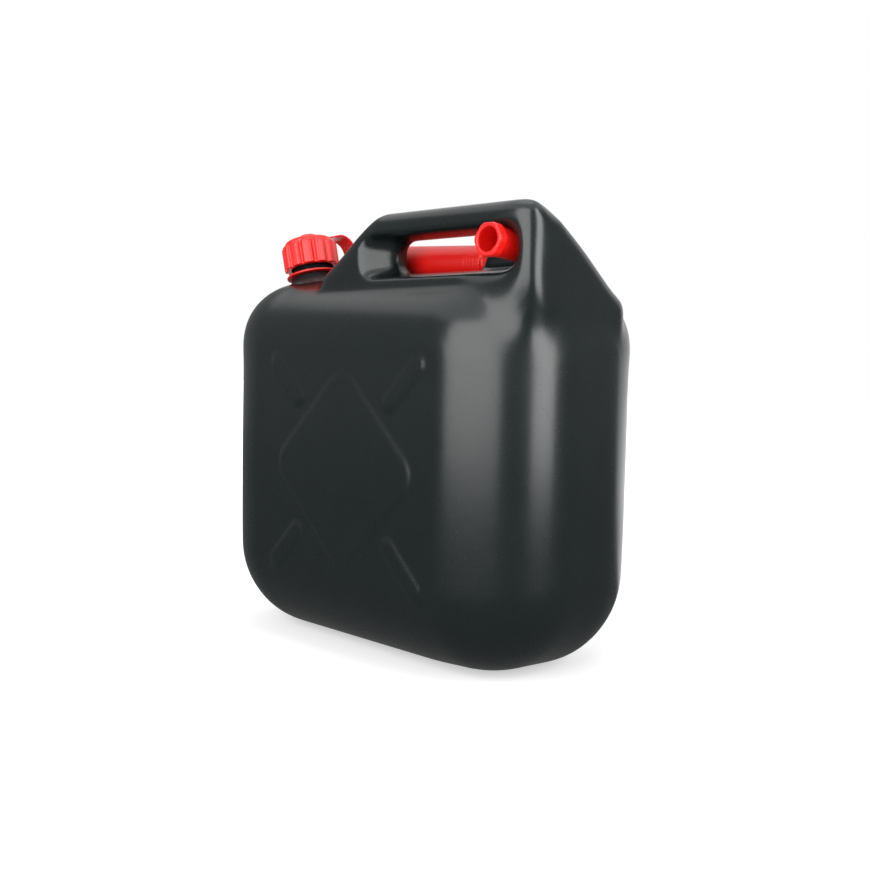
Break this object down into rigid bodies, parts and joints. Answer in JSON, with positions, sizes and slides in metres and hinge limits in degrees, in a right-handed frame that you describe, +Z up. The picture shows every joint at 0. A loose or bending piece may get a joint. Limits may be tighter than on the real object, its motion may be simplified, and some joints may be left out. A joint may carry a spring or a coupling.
{
  "type": "fuel can",
  "caption": "Upright plastic fuel can with a carrying handle, a tilted neck with a tethered screw cap, and a stowed pouring spout.",
  "frame": {"origin": "centre of the base", "axes": "+X along the broad side from the neck end to the handle end, +Y away from the near broad face, +Z up"},
  "size_m": [0.31, 0.1676, 0.309],
  "materials": {
    "can_polyethylene": "satin",
    "red_polyethylene": "satin",
    "seal_rubber": "matte"
  },
  "bodies": {
    "can": {"body": "can_polyethylene", "tether": "red_polyethylene", "spout": "red_polyethylene", "spout_seal": "seal_rubber"},
    "cap_lifter": {"cap_seal": "seal_rubber"},
    "cap": {"cap": "red_polyethylene"},
    "collar": {"spout_collar": "red_polyethylene"}
  },
  "joints": [
    {"name": "cap_lift", "type": "slide", "parent": "can", "child": "cap_lifter", "axis": [-0.2588, 0, 0.9659], "range_m": [0, 0.008], "deforming": ["tether"]},
    {"name": "cap_turn", "type": "hinge", "parent": "cap_lifter", "child": "cap", "pos_m": [-0.097, -0.026, 0.268], "axis": [-0.2588, 0, 0.9659], "range_deg": [0, 720]},
    {"name": "collar_turn", "type": "hinge", "parent": "can", "child": "collar", "pos_m": [-0.048, -0.01, 0.2815], "axis": [0.999, 0, -0.0456], "continuous": true}
  ],
  "couplings": [
    {"joint": "cap_lift", "follows": "cap_turn", "m_per_rad": 0.000636}
  ]
}
